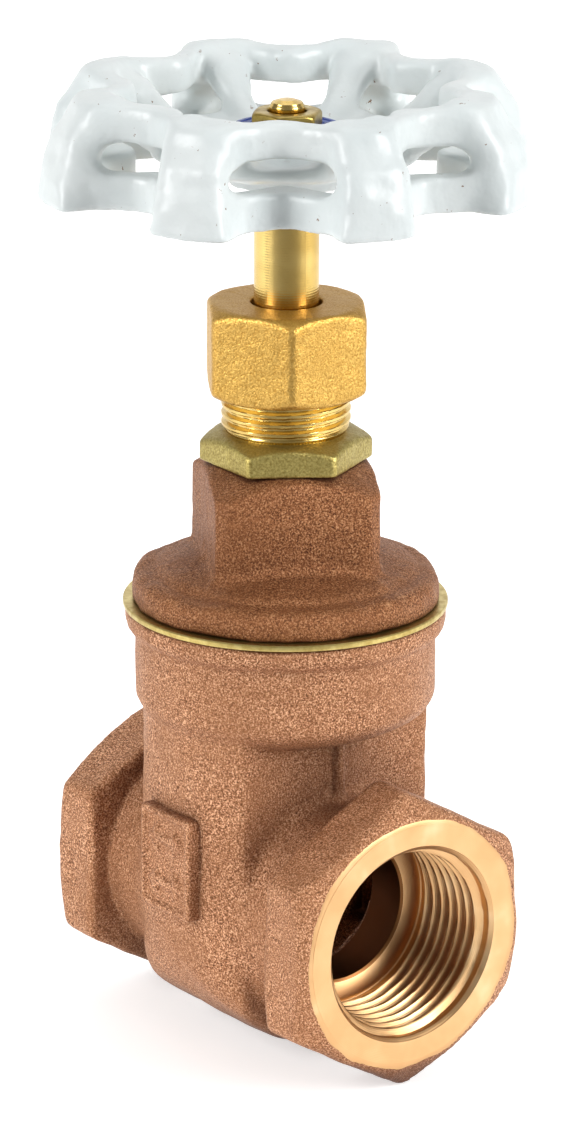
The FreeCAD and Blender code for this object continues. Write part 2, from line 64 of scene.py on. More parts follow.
mounts = {mount["name"]: mount for mount in frame["record"]["mounts"]}
PORT_Z = mounts["outlet_thread"]["pos_m"][2] / MM      # height of the flow axis
CREST_R = mounts["outlet_thread"]["dims"]["r_mm"]      # thread crests in the ports
FACE_X = box_mm("body")[1][0]                          # port face
JOINT_Z = box_mm("body")[1][2]                         # joint face under the bonnet
BONNET_LOW_Z = box_mm("bonnet")[0][2]
BONNET_TOP_Z = box_mm("bonnet")[1][2]
WHEEL_LOW_Z = box_mm("handwheel")[0][2]
WHEEL_TOP_Z = box_mm("handwheel")[1][2]
PLATE_LOW_Z = box_mm("identification_plate")[0][2]

# Body
HOUSING_R = 18.9
HOUSING_HALF = 11.5          # half width of the flattened housing along the flow
CRADLE_R = 19.3              # round bottom of the housing
COLLAR_R = 20.0
COLLAR_LOW_Z = 48.6
COLLAR_TOP_Z = 57.2
FLANGE_R = 21.3
LAND_R = 21.6                # machined edge of the joint face
NECK_R = 15.3
HEXAGON_FLATS = 17.97        # axis to a flat of a port hexagon
HEXAGON_BACK_X = 19.7
PORT_FACE_R = 17.0
CAST_PORT_R = 14.4           # cast hole that the machined thread sleeve fills
WATERWAY_R = 10.1
BONNET_BORE_R = 17.3
BONNET_BORE_LOW_Z = 52.0

# Raised pad on the -Y side
PAD_HALF = 5.5
PAD_HALF_HEIGHT = 7.1
PAD_FACE_Y = -19.9
PAD_RECESS = 0.45

# Pipe thread in the ports
PIPE_PITCH = 25.4 / 14
PIPE_THREAD_DEPTH = 1.15
SLEEVE_BACK_X = FACE_X - 16.2

# Bonnet
BONNET_RIM_R = 20.4
BONNET_DOME_R = 17.6
BONNET_SPIGOT_R = 17.2
BLOCK_TURN = -26.3           # face of the square block, in degrees about the stem
BLOCK_HALF = 11.0
BLOCK_CORNER = 14.45         # stem axis to the flat that trims a corner of the block
BLOCK_BEVEL = (0.86, 0.51)   # a bevel is its weights along and across the axis, whose ratio is the slope

# Brass fittings; each turn is the angle of a hexagon's corner about the stem, in degrees
BOX_TURN = -2.0
BOX_FLATS = 10.0
BOX_HEXAGON_TOP_Z = 84.0
BOX_SOCKET_R = 7.95
NECK_PITCH = 1.27
NECK_ROOT_R = 7.95
NECK_CREST_R = 8.54
PACKING_NUT_TURN = 27.7
PACKING_NUT_FLATS = 10.13
WHEEL_NUT_TURN = 10
STEM_END_HOLE_R = 2.57
STEM_HOLE_R = 4.4

# Camera: distance, aim height and lens of a long product lens
CAMERA_AZIMUTH = 53.6
CAMERA_ELEVATION = 17.5
CAMERA_DISTANCE = 0.763
CAMERA_AIM_Z = 0.0657
CAMERA_LENS = 184.1
CAMERA_ROLL = 0.2

# Studio, in metres: each light is (azimuth from the camera, elevation, distance, size, watts)
LIGHTS = {
    "key": (62, 24, 1.0, (0.4, 0.7), 9.4),
    "fill": (-60, 22, 1.0, (0.35, 0.7), 7.5),
    "top": (180, 72, 1.1, (0.9, 0.9), 2.0),
}
LIGHT_AIM_Z = 0.06
WORLD_STRENGTH = 0.24
FLOOR_HALF_WIDTH = 3.0
FLOOR_BACK = 1.2             # where the floor starts to bend up behind the valve
FLOOR_BEND_RADIUS = 0.5
FLOOR_BEND_STEPS = 24
FLOOR_TOP = 2.5
FLOOR_FADE_START = 0.055     # how far ahead of the valve the floor turns grey
FLOOR_FADE_END = 0.16
FLOOR_GREY = (0.34, 0.34, 0.345)
FLOOR_GLOW = 0.5


# ---------------------------------------------------------------- distance fields

def space(low, high, step):
    """Open grids of x, y and z over a box, in millimetres."""
    axes = [np.arange(a, b + step, step, dtype=np.float32) for a, b in zip(low, high)]
    return axes[0][:, None, None], axes[1][None, :, None], axes[2][None, None, :]


def join(a, b, blend=0.0):
    """Union of two distance fields, with a fillet about as wide as blend."""
    if blend <= 0:
        return np.minimum(a, b)
    h = np.maximum(blend - np.abs(a - b), 0) / blend
    return np.minimum(a, b) - h * h * blend / 4


def both(a, b, blend=0.0):
    """Where two distance fields overlap, with a rounded edge about as wide as blend."""
    return -join(-a, -b, blend)


def hexagonal(u, v, half_flats, blend):
    """Distance to a hexagon whose corners point along v."""
    c, s = math.cos(math.pi / 3), math.sin(math.pi / 3)
    first = both(np.abs(u), np.abs(u * c + v * s), blend)
    return both(first, np.abs(u * c - v * s), blend) - half_flats


def turned_axes(x, y, degrees):
    """Grid coordinates turned about the stem axis."""
    turn = math.radians(degrees)
    return x * math.cos(turn) + y * math.sin(turn), -x * math.sin(turn) + y * math.cos(turn)


def bar(u, v, points, widths):
    """Distance to a bar that follows a line of points in a plane, with its own half width at each."""
    best = None
    for (a, b), (wa, wb) in zip(zip(points, points[1:]), zip(widths, widths[1:])):
        du, dv = b[0] - a[0], b[1] - a[1]
        t = np.clip(((u - a[0]) * du + (v - a[1]) * dv) / (du * du + dv * dv), 0, 1)
        d = np.hypot(u - a[0] - t * du, v - a[1] - t * dv) - (wa + (wb - wa) * t)
        best = d if best is None else np.minimum(best, d)
    return best


def unevenness(shape, step, cell, seed):
    """Smooth random values from -1 to 1 that change over cell millimetres."""
    random = np.random.default_rng(seed)
    values = random.uniform(-1, 1, [int(n * step / cell) + 3 for n in shape]).astype(np.float32)
    for axis, n in enumerate(shape):
        place = np.arange(n) * step / cell
        index = place.astype(int)
        share = place - index
        share = (share * share * (3 - 2 * share)).astype(np.float32)
        dims = [1, 1, 1]
        dims[axis] = n
        share = share.reshape(dims)
        values = np.take(values, index, axis) * (1 - share) + np.take(values, index + 1, axis) * share
    return values


def bevel(along, outward, slope):
    """Inside of a cone, from the distances along its axis and outward from its rim."""
    return along * slope[0] + outward * slope[1]


def roughened(shape, step, *layers):
    """A distance field made uneven by layers of (depth, cell size, seed)."""
    for depth, cell, seed in layers:
        shape = shape + depth * unevenness(shape.shape, step, cell, seed)
    return shape


def skin(name, distance, low, step):
    """The zero surface of a distance field as a smooth mesh object, in metres."""
    grid = openvdb.FloatGrid(10.0)
    grid.copyFromArray(np.ascontiguousarray(distance, dtype=np.float32))
    points, quads = grid.convertToQuads(isovalue=0.0)
    points = (points * step + np.array(low)) * MM
    piece = new_object(name, points.tolist(), quads[:, ::-1].tolist())
    piece.data.shade_smooth()
    return piece


def new_object(name, points, faces):
    """A mesh object from points in metres."""
    mesh = bpy.data.meshes.new(name)
    mesh.from_pydata(points, [], faces)
    mesh.update()
    made = bpy.data.objects.new(name, mesh)
    bpy.context.scene.collection.objects.link(made)
    return made


# ---------------------------------------------------------------- plain meshes

def clamped(value):
    return min(max(value, 0), 1)


def upright(u, v, along):
    return u, v, along


def turned(name, rows, columns, thread=None, place=upright, order=(0, 1, 2, 3)):
    """Closed surface of revolution from rows of (radius, distance along the axis), in millimetres.

    A row without a radius gets it from thread(distance, turn), where turn runs from 0 to 1 round
    the axis. The order of a face's corners sets which way it looks.
    """
    points, faces = [], []
    count = len(rows)
    for i in range(columns):
        turn = i / columns
        cosine, sine = math.cos(2 * math.pi * turn), math.sin(2 * math.pi * turn)
        for radius, along in rows:
            if radius is None:
                radius = thread(along, turn)
            points.append([value * MM for value in place(radius * cosine, radius * sine, along)])
        following = (i + 1) % columns
        for k in range(count):
            m = (k + 1) % count
            face = [i * count + k, following * count + k, following * count + m, i * count + m]
            faces.append([face[corner] for corner in order])
    return new_object(name, points, faces)


def thread_rows(start, end, step):
    """Rows for turned, one each step from start towards end, whose radius is left to the thread."""
    count = math.ceil(abs(end - start) / step)
    return [(None, start + math.copysign(step, end - start) * i) for i in range(count)]


def sharp_shading(piece, degrees):
    """Smooth shading that keeps turned corners crisp."""
    piece.data.shade_smooth()
    piece.data.set_sharp_from_angle(angle=math.radians(degrees))


def merged(name, pieces):
    """One object from several, each keeping its own material."""
    with bpy.context.temp_override(active_object=pieces[0], selected_editable_objects=pieces,
                                   selected_objects=pieces, object=pieces[0]):
        bpy.ops.object.join()
    pieces[0].name = name
    return pieces[0]


def finish_piece(piece, node, body):
    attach(piece, body)
    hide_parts(node)


# ---------------------------------------------------------------- materials

class Shader:
    """A node material with short calls for the nodes that are used here."""

    def __init__(self, name):
        self.material = bpy.data.materials.new(name)
        self.material.use_nodes = True
        self.nodes = self.material.node_tree.nodes
        self.links = self.material.node_tree.links
        self.main = self.nodes["Principled BSDF"]
        self.place = self.nodes.new("ShaderNodeTexCoord").outputs["Object"]

    def put(self, socket, value):
        if isinstance(value, bpy.types.NodeSocket):
            self.links.new(value, socket)
        else:
            socket.default_value = value

    def noise(self, size_mm, detail, rough):
        node = self.nodes.new("ShaderNodeTexNoise")
        node.inputs["Scale"].default_value = 1000 / size_mm
        node.inputs["Detail"].default_value = detail
        node.inputs["Roughness"].default_value = rough
        self.links.new(self.place, node.inputs["Vector"])
        return node.outputs["Fac"]

    def cells(self, size_mm):
        node = self.nodes.new("ShaderNodeTexVoronoi")
        node.inputs["Scale"].default_value = 1000 / size_mm
        self.links.new(self.place, node.inputs["Vector"])
        return node.outputs["Distance"]

    def ramp(self, value, stops):
        """Colours or greys at (place, colour) stops along a value from 0 to 1."""
        node = self.nodes.new("ShaderNodeValToRGB")
        elements = node.color_ramp.elements
        while len(elements) < len(stops):
            elements.new(0.5)
        for element, (place, colour) in zip(elements, stops):
            element.position = place
            if not isinstance(colour, tuple):
                colour = (colour, colour, colour)
            element.color = (*colour, 1)
        self.links.new(value, node.inputs["Fac"])
        return node.outputs["Color"]

    def rings(self, value, spacing_mm):
        """A wave that repeats every spacing along a length."""
        return self.math("SINE", self.math("MULTIPLY", value, 2 * math.pi / (spacing_mm * MM)))

    def math(self, operation, a, b=0.0):
        node = self.nodes.new("ShaderNodeMath")
        node.operation = operation
        self.put(node.inputs[0], a)
        self.put(node.inputs[1], b)
        return node.outputs[0]

    def mix(self, share, a, b, blend="MIX"):
        node = self.nodes.new("ShaderNodeMix")
        node.data_type = "RGBA"
        node.blend_type = blend
        self.put(node.inputs["Factor"], share)
        self.put(node.inputs["A"], (*a, 1) if isinstance(a, tuple) else a)
        self.put(node.inputs["B"], (*b, 1) if isinstance(b, tuple) else b)
        return node.outputs["Result"]

    def bump(self, height, depth_mm, normal=None):
        """Relief of the given depth, laid over an earlier bump's normal if there is one."""
        node = self.nodes.new("ShaderNodeBump")
        node.inputs["Distance"].default_value = depth_mm * MM
        self.links.new(height, node.inputs["Height"])
        if normal is not None:
            self.links.new(normal, node.inputs["Normal"])
        return node.outputs["Normal"]

    def axis(self, name):
        node = self.nodes.new("ShaderNodeSeparateXYZ")
        self.links.new(self.place, node.inputs[0])
        return node.outputs[name]

    def normal_axis(self, name):
        node = self.nodes.new("ShaderNodeSeparateXYZ")
        geometry = self.nodes.new("ShaderNodeNewGeometry")
        self.links.new(geometry.outputs["Normal"], node.inputs[0])
        return node.outputs[name]

    def radius(self, first, second, offset_mm):
        """Distance from an axis, where second is measured from offset_mm."""
        a = self.axis(first)
        b = self.math("SUBTRACT", self.axis(second), offset_mm * MM)
        squares = self.math("ADD", self.math("MULTIPLY", a, a), self.math("MULTIPLY", b, b))
        return self.math("SQRT", squares)

    def set(self, name, value):
        self.put(self.main.inputs[name], value)


CAST_DARK = (0.085, 0.026, 0.010)
CAST_BROWN = (0.300, 0.118, 0.048)
CAST_PINK = (0.560, 0.258, 0.122)
CAST_LIGHT = (0.980, 0.610, 0.380)
STAIN = (0.36, 0.155, 0.065)
CUT_DARK = (0.66, 0.39, 0.18)         # freshly cut bronze
CUT_MIDDLE = (0.72, 0.45, 0.22)
CUT_LIGHT = (0.80, 0.55, 0.30)
BORE_SHADE_BRONZE = (0.20, 0.085, 0.03)     # painted shade: darker brown for the waterway wall deep behind the thread
CAST_METALLIC = 0.6
CUT_ROUGHNESS = 0.42
BONNET_TONE = (0.66, 0.56, 0.43)      # the bonnet is a browner casting than the body
BODY_TONE = (1.0, 1.0, 1.0)


def hollow_shade(s, reach_mm):
    """Near 0 in corners and hollows, 1 on open surfaces."""
    node = s.nodes.new("ShaderNodeAmbientOcclusion")
    node.inputs["Distance"].default_value = reach_mm * MM
    node.samples = 4
    return node.outputs["AO"]


def edge_wear_and_highlight(s):
    """1 on sharp outside edges, 0 elsewhere."""
    geometry = s.nodes.new("ShaderNodeNewGeometry")
    return s.ramp(geometry.outputs["Pointiness"], [(0.53, 0.0), (0.62, 1.0)])


def cast_grain(s):
    """Colour, roughness and the three heights of a shot-blasted casting, with painted shade in its
    hollows and painted highlight with rub wear on its sharp edges.
    """
    grain = s.noise(0.24, 3.0, 0.75)
    lumps = s.noise(1.6, 2.0, 0.5)
    patches = s.noise(10.0, 3.0, 0.55)
    pits = s.cells(0.5)
    colour = s.ramp(grain, [(0.37, CAST_DARK), (0.45, CAST_BROWN), (0.54, CAST_PINK), (0.62, CAST_LIGHT)])
    stained = s.ramp(patches, [(0.35, 0.0), (0.70, 0.55)])
    colour = s.mix(stained, colour, STAIN)
    # Painted shade: the colour goes towards CAST_DARK in corners and hollows, where shade falls.
    painted_hollow_shade = s.ramp(hollow_shade(s, 10.0), [(0.25, 0.9), (0.62, 0.35), (0.90, 0.0)])
    colour = s.mix(painted_hollow_shade, colour, CAST_DARK)
    # Painted highlight, with some rub wear: sharp outside edges are lightened towards CAST_LIGHT.
    edge_highlight_and_rub = s.math("MULTIPLY", edge_wear_and_highlight(s), 0.45)
    colour = s.mix(edge_highlight_and_rub, colour, CAST_LIGHT)
    rough = s.ramp(grain, [(0.3, 0.66), (0.7, 0.42)])
    return colour, rough, lumps, grain, pits


def cast_relief(s, lumps, grain, pits):
    """Normal of a casting: low lumps, then grain, then fine pits."""
    normal = s.bump(lumps, 0.20)
    normal = s.bump(grain, 0.16, normal)
    return s.bump(pits, 0.04, normal)


def cast_bronze(name, tone):
    """Shot-blasted sand casting: pinkish bronze, grainy, browner in patches."""
    s = Shader(name)
    colour, rough, lumps, grain, pits = cast_grain(s)
    s.set("Base Color", s.mix(1.0, colour, tone, "MULTIPLY"))
    s.set("Metallic", CAST_METALLIC)
    s.set("Roughness", rough)
    s.set("Normal", cast_relief(s, lumps, grain, pits))
    return s.material


def bright_bronze(s):
    """Colour of cut bronze, a little stained."""
    stains = s.noise(5.0, 2.0, 0.5)
    return s.ramp(stains, [(0.35, CUT_DARK), (0.6, CUT_MIDDLE), (0.75, CUT_LIGHT)])


def machined_bronze():
    """Bright turned bronze with fine tool marks around the flow axis, painted darker brown deep in the
    bore as shade.
    """
    s = Shader("machined_bronze")
    radius = s.radius("Y", "Z", PORT_Z)
    marks = s.rings(radius, 0.22)
    smear = s.noise(2.5, 3.0, 0.6)
    along = s.math("ABSOLUTE", s.axis("X"))
    # Painted shade: from the shoulder inwards, deep in the bore, the colour turns dark brown.
    painted_bore_shade = s.math("LESS_THAN", along, (SLEEVE_BACK_X + 0.95) * MM)
    s.set("Base Color", s.mix(painted_bore_shade, bright_bronze(s), BORE_SHADE_BRONZE))
    s.set("Metallic", 1.0)
    s.set("Roughness", s.ramp(smear, [(0.3, 0.34), (0.7, 0.42)]))
    normal = s.bump(marks, 0.004)
    s.set("Normal", s.bump(smear, 0.004, normal))
    return s.material


def body_bronze():
    """Cast bronze, bright where the casting was cut at the port faces."""
    s = Shader("body_bronze")
    colour, rough, lumps, grain, pits = cast_grain(s)
    along = s.math("ABSOLUTE", s.axis("X"))
    cut = s.math("GREATER_THAN", along, (FACE_X - 0.12) * MM)
    s.set("Base Color", s.mix(cut, colour, bright_bronze(s)))
    s.set("Metallic", s.math("ADD", CAST_METALLIC, s.math("MULTIPLY", cut, 1 - CAST_METALLIC)))
    s.set("Roughness", s.mix(cut, rough, (CUT_ROUGHNESS,) * 3))
    uncut = s.math("SUBTRACT", 1.0, cut)
    heights = [s.math("MULTIPLY", height, uncut) for height in (lumps, grain, pits)]
    s.set("Normal", cast_relief(s, *heights))
    return s.material


def forged_brass(name, dark, light, grain_mm, depth_mm):
    """Blasted yellow brass with a fine even grain, and painted shade that darkens faces which look up."""
    s = Shader(name)
    grain = s.noise(grain_mm, 2.0, 0.6)
    patches = s.noise(6.0, 3.0, 0.6)
    colour = s.ramp(grain, [(0.3, dark), (0.7, light)])
    colour = s.mix(s.ramp(patches, [(0.4, 0.0), (0.75, 0.35)]), colour, dark)
    # Painted shade: faces that look up are darkened towards the dark brass colour.
    painted_top_shade = s.ramp(s.normal_axis("Z"), [(0.6, 0.0), (0.9, 0.6)])
    s.set("Base Color", s.mix(painted_top_shade, colour, dark))
    s.set("Metallic", 0.9)
    s.set("Roughness", s.ramp(grain, [(0.3, 0.5), (0.7, 0.36)]))
    s.set("Normal", s.bump(grain, depth_mm))
    return s.material


def turned_brass():
    """Polished turned brass with fine rings around the stem axis."""
    s = Shader("turned_brass")
    rings = s.rings(s.axis("Z"), 0.35)
    wave = s.noise(1.2, 2.0, 0.5)
    stains = s.noise(7.0, 2.0, 0.5)
    s.set("Base Color", s.ramp(stains, [(0.35, (0.60, 0.40, 0.11)), (0.65, (0.80, 0.58, 0.20))]))
    s.set("Metallic", 1.0)
    s.set("Roughness", s.ramp(wave, [(0.3, 0.16), (0.7, 0.27)]))
    normal = s.bump(rings, 0.0035)
    s.set("Normal", s.bump(wave, 0.006, normal))
    return s.material


def shade_darkened_brass():
    """Small turned nut: brass painted darker, as painted shade."""
    s = Shader("shade_darkened_brass")
    stains = s.noise(2.0, 3.0, 0.6)
    # Painted shade: the whole brass colour range is set darker.
    s.set("Base Color", s.ramp(stains, [(0.35, (0.30, 0.20, 0.045)), (0.65, (0.50, 0.37, 0.11))]))
    s.set("Metallic", 1.0)
    s.set("Roughness", s.ramp(stains, [(0.3, 0.38), (0.7, 0.26)]))
    s.set("Normal", s.bump(stains, 0.02))
    return s.material


def white_enamel():
    """Thick white enamel over a rough casting, with small rusty chips."""
    s = Shader("white_enamel")
    orange_peel = s.noise(1.6, 2.0, 0.5)
    casting = s.noise(4.5, 3.0, 0.55)
    tint = s.noise(11.0, 2.0, 0.5)
    paint = s.ramp(tint, [(0.35, (0.62, 0.67, 0.67)), (0.65, (0.68, 0.72, 0.715))])
    chips = s.noise(1.3, 4.0, 0.72)
    where = s.noise(9.0, 2.0, 0.5)
    spots = s.math("MULTIPLY", s.math("GREATER_THAN", chips, 0.69), s.math("GREATER_THAN", where, 0.46))
    knocks = s.math("MULTIPLY", s.math("GREATER_THAN", chips, 0.56), edge_wear_and_highlight(s))
    spots = s.math("MAXIMUM", spots, s.math("MULTIPLY", knocks, 0.7))
    s.set("Base Color", s.mix(spots, paint, (0.20, 0.11, 0.06)))
    s.set("Roughness", s.ramp(casting, [(0.3, 0.33), (0.7, 0.48)]))
    s.set("Coat Weight", 0.25)
    s.set("Coat Roughness", 0.25)
    normal = s.bump(casting, 0.28)
    s.set("Normal", s.bump(orange_peel, 0.05, normal))
    return s.material


def blue_lacquer():
    """Deep blue lacquer, slightly cloudy."""
    s = Shader("blue_lacquer")
    cloud = s.noise(3.0, 2.0, 0.5)
    s.set("Base Color", s.ramp(cloud, [(0.3, (0.012, 0.045, 0.30)), (0.7, (0.02, 0.07, 0.42))]))
    s.set("Roughness", s.ramp(cloud, [(0.3, 0.22), (0.7, 0.34)]))
    s.set("Metallic", 0.2)
    s.set("Normal", s.bump(cloud, 0.01))
    return s.material


def braided_packing():
    """Dark graphite yarn laid round the stem."""
    s = Shader("braided_packing")
    strands = s.noise(0.5, 3.0, 0.7)
    s.set("Base Color", s.ramp(strands, [(0.3, (0.012, 0.012, 0.014)), (0.7, (0.06, 0.06, 0.065))]))
    s.set("Roughness", s.ramp(strands, [(0.3, 0.8), (0.7, 0.55)]))
    s.set("Normal", s.bump(strands, 0.12))
    return s.material


def studio_floor():
    """White around and behind the valve, and darker ahead of it for the metal to mirror."""
    s = Shader("studio_floor")
    azimuth = math.radians(CAMERA_AZIMUTH)
    ahead = s.math("ADD", s.math("MULTIPLY", s.axis("X"), math.sin(azimuth)),
                   s.math("MULTIPLY", s.axis("Y"), -math.cos(azimuth)))
    fade = s.nodes.new("ShaderNodeMapRange")
    fade.interpolation_type = "SMOOTHSTEP"
    s.put(fade.inputs["Value"], ahead)
    fade.inputs["From Min"].default_value = FLOOR_FADE_START
    fade.inputs["From Max"].default_value = FLOOR_FADE_END
    cloud = s.noise(300.0, 1.0, 0.5)
    white = s.ramp(cloud, [(0.3, 0.86), (0.7, 0.88)])
    s.set("Base Color", s.mix(fade.outputs["Result"], white, FLOOR_GREY))
    s.set("Roughness", 0.6)
    s.set("Emission Color", (1.0, 1.0, 1.0, 1.0))
    unfaded = s.math("SUBTRACT", 1.0, fade.outputs["Result"])
    s.set("Emission Strength", s.math("MULTIPLY", unfaded, FLOOR_GLOW))
    return s.material


def dress(piece, material):
    piece.data.materials.clear()
    piece.data.materials.append(material)


# ---------------------------------------------------------------- handwheel

LOBES = 8
LOBE_TURN = math.radians(-14.8)
WHEEL_REACH = 34.5
STEM_SHOULDER = 1.3          # heights on the wheel are measured up from its underside
HUB_R = 8.0
WEB_R = 17.9
# each point of a lobe's middle line is (radius, height, half thickness)
LOBE_LINE = [(30.6, -2, 2.6), (30.2, 3, 2.6), (29.1, 7.4, 2.7), (27.1, 10.2, 2.6), (24.6, 11.5, 2.3),
             (21.4, 10.2, 2.0), (17.6, 7.2, 1.8), (13.6, 5.0, 1.7), (8.0, 4.0, 1.7), (2.0, 3.9, 1.8)]


def folded_sector(x, y):
    """Radius, and the angle from the nearest lobe."""
    sector = 2 * math.pi / LOBES
    angle = np.arctan2(y, x) - LOBE_TURN
    angle = (angle + sector / 2) % sector - sector / 2
    return np.hypot(x, y), angle


def lobe_distance(radius, angle, height):
    """A bent bar: a wall that curves over its top into an arm down to the hub.

    It widens outwards and downwards.
    """
    along, aside = radius * np.cos(angle), radius * np.sin(angle)
    arm = bar(along, height, [point[:2] for point in LOBE_LINE], [point[2] for point in LOBE_LINE])
    half_width = 2.4 + 2.3 * np.clip((radius - 18) / 10, 0, 1) + 0.05 * np.clip(6 - height, 0, 6) ** 1.6
    return both(arm, np.abs(aside) - half_width, 3.0)


def lower_bar_distance(radius, wave, height):
    """Outside bar at the foot of the lobes. It swings inwards between them."""
    outer = 28.2 + 3.7 * wave
    inner = 22.6 + 3.2 * wave
    ring = both(radius - outer, inner - radius, 0.8)
    return both(ring, height - 4.7, 1.0)


def upper_bar_distance(radius, wave, height):
    """Bar that joins the lobes near their tops."""
    middle = 24.2 + 2.6 * wave
    return both(np.abs(radius - middle) - 2.0, np.abs(height - 11.0) - 2.4, 1.5)


def web_and_hub_distance(wheel, radius, height):
    """The wheel joined to its dished web and its hub."""
    web_middle = 3.0 + 2.4 * np.clip((radius - 6) / 12, 0, 1)
    web = both(np.abs(height - web_middle) - 1.0, radius - WEB_R, 1.0)
    hub = both(both(radius - HUB_R, height - (PLATE_LOW_Z - WHEEL_LOW_Z), 0.8), 0.1 - height, 0.8)
    return join(join(wheel, web, 1.2), hub, 1.2)


def make_wheel():
    step = 0.42
    low = (-WHEEL_REACH, -WHEEL_REACH, WHEEL_LOW_Z - 1.5)
    high = (WHEEL_REACH, WHEEL_REACH, WHEEL_TOP_Z + 1.5)
    x, y, z = space(low, high, step)
    height = z - WHEEL_LOW_Z
    radius, angle = folded_sector(x, y)
    wave = np.cos(LOBES * angle)
    wheel = join(lobe_distance(radius, angle, height), lower_bar_distance(radius, wave, height), 2.6)
    wheel = join(wheel, upper_bar_distance(radius, wave, height), 2.0)
    wheel = web_and_hub_distance(wheel, radius, height)
    wheel = both(wheel, -height, 0.7)
    wheel = roughened(wheel, step, (0.22, 4.0, 3), (0.10, 1.6, 4))
    square_hole = both(np.abs(x) - 3.35, np.abs(y) - 3.35)
    round_hole = both(radius - 4.45, height - STEM_SHOULDER)
    wheel = both(wheel, -join(square_hole, round_hole))
    piece = skin("cast_handwheel", wheel, low, step)
    dress(piece, white_enamel())
    finish_piece(piece, "handwheel", "stem_and_wheel")


# ---------------------------------------------------------------- body

PORT_BEVEL = (0.871, 0.491)
HEXAGON_BACK_BEVEL = (0.98, 0.20)
SEAM_HALF = 0.7


def body_distance(x, y, z, step):
    """The casting: flattened housing, collar, flange, necks, hexagons and seams, less its hollows."""
    up = z - PORT_Z
    stem_r = np.hypot(x, y)
    port_r = np.hypot(y, up)
    side = np.abs(x)
    cradle = np.where(up > 0, np.abs(y), port_r) - CRADLE_R
    housing = both(both(stem_r - HOUSING_R, side - HOUSING_HALF, 0.7), cradle, 2.0)
    housing = both(housing, z - 57.0)
    bowl = np.hypot(stem_r, np.maximum(COLLAR_LOW_Z - z, 0) * 3.4) - COLLAR_R
    bowl = both(bowl, z - COLLAR_TOP_Z, 0.8)
    shape = join(housing, bowl, 1.1)
    flange = both(both(stem_r - FLANGE_R, z - (JOINT_Z - 0.75), 0.6), 57.3 - z, 1.2)
    shape = join(shape, flange, 1.0)
    neck = both(port_r - NECK_R, side - 21.0)
    shape = join(shape, neck, 2.2)
    flats = hexagonal(y + 0 * z, up + 0 * y, HEXAGON_FLATS, 1.0)
    front = bevel(side - FACE_X, port_r - PORT_FACE_R, PORT_BEVEL)
    back = bevel(HEXAGON_BACK_X - side, port_r - 18.0, HEXAGON_BACK_BEVEL)
    ends = both(both(flats + 0 * side, front, 0.6), back, 0.6)
    shape = join(shape, ends, 0.4)
    seam = both(both(np.abs(y) - SEAM_HALF, side - 12.7), both(34.0 - z, z - 45.5))
    shape = join(shape, seam, 0.7)
    shape = roughened(shape, step, (0.15, 5.0, 11), (0.09, 1.7, 12))
    shape = both(shape, side - FACE_X)
    return both(shape, -hollow_distance(x, y, z))


def hollow_distance(x, y, z):
    """The gate pocket with its seat rings and guides, the waterway, bonnet bore and cast ports."""
    up = z - PORT_Z
    port_r = np.hypot(y, up)
    side = np.abs(x)
    pocket = both(side - 8.2, np.where(up > 0, np.abs(y) - 13.0, port_r - 14.0), 1.5)
    seat_rings = both(port_r - 12.3, 6.1 + 0.07 * up - side)
    pocket = both(pocket, -seat_rings)
    guides = both(both(side - 1.8, np.abs(y) - 14.8), 12.4 - z)
    hollow = join(pocket, guides)
    hollow = join(hollow, both(np.hypot(x, y) - BONNET_BORE_R, BONNET_BORE_LOW_Z - z))
    hollow = join(hollow, both(port_r - WATERWAY_R, side - 20.0))
    return join(hollow, both(port_r - CAST_PORT_R, SLEEVE_BACK_X - side))


def arrow_distance(across, lift):
    """Outline of one double-ended arrow that lies across the pad."""
    shaft = both(np.abs(across) - 2.6, np.abs(lift) - 0.6)
    head = both((np.abs(across) + np.abs(lift) * 1.1 - 3.9) * 0.67, 1.7 - np.abs(across))
    return join(shaft, head)


def raised_pad():
    """Raised flow pad on the -Y side: border and two double-ended arrows, cast with the body."""
    step = 0.28
    middle = PORT_Z + PAD_HALF_HEIGHT
    face = PAD_FACE_Y
    low = (-PAD_HALF - 1.1, face - 0.6, middle - PAD_HALF_HEIGHT - 1.1)
    high = (PAD_HALF + 1.1, face + 3.4, middle + PAD_HALF_HEIGHT + 1.1)
    x, y, z = space(low, high, step)
    up = z - middle
    outline = both(np.abs(x) - PAD_HALF, np.abs(up) - PAD_HALF_HEIGHT, 0.8)
    slab = both(outline, both(face - y, y - (face + 3.0)), 0.4)
    inside = both(np.abs(x) - PAD_HALF + 0.95, np.abs(up) - PAD_HALF_HEIGHT + 0.95, 0.4)
    pad = both(slab, -both(inside, y - (face + PAD_RECESS)), 0.3)
    for lift in (-3.1, 3.1):
        arrow = both(arrow_distance(x, up - lift), both(face - y, y - (face + 1.6)), 0.3)
        pad = join(pad, arrow, 0.25)
    pad = roughened(pad, step, (0.07, 1.2, 13))
    piece = skin("raised_pad", pad, low, step)
    dress(piece, body_bronze())
    return piece


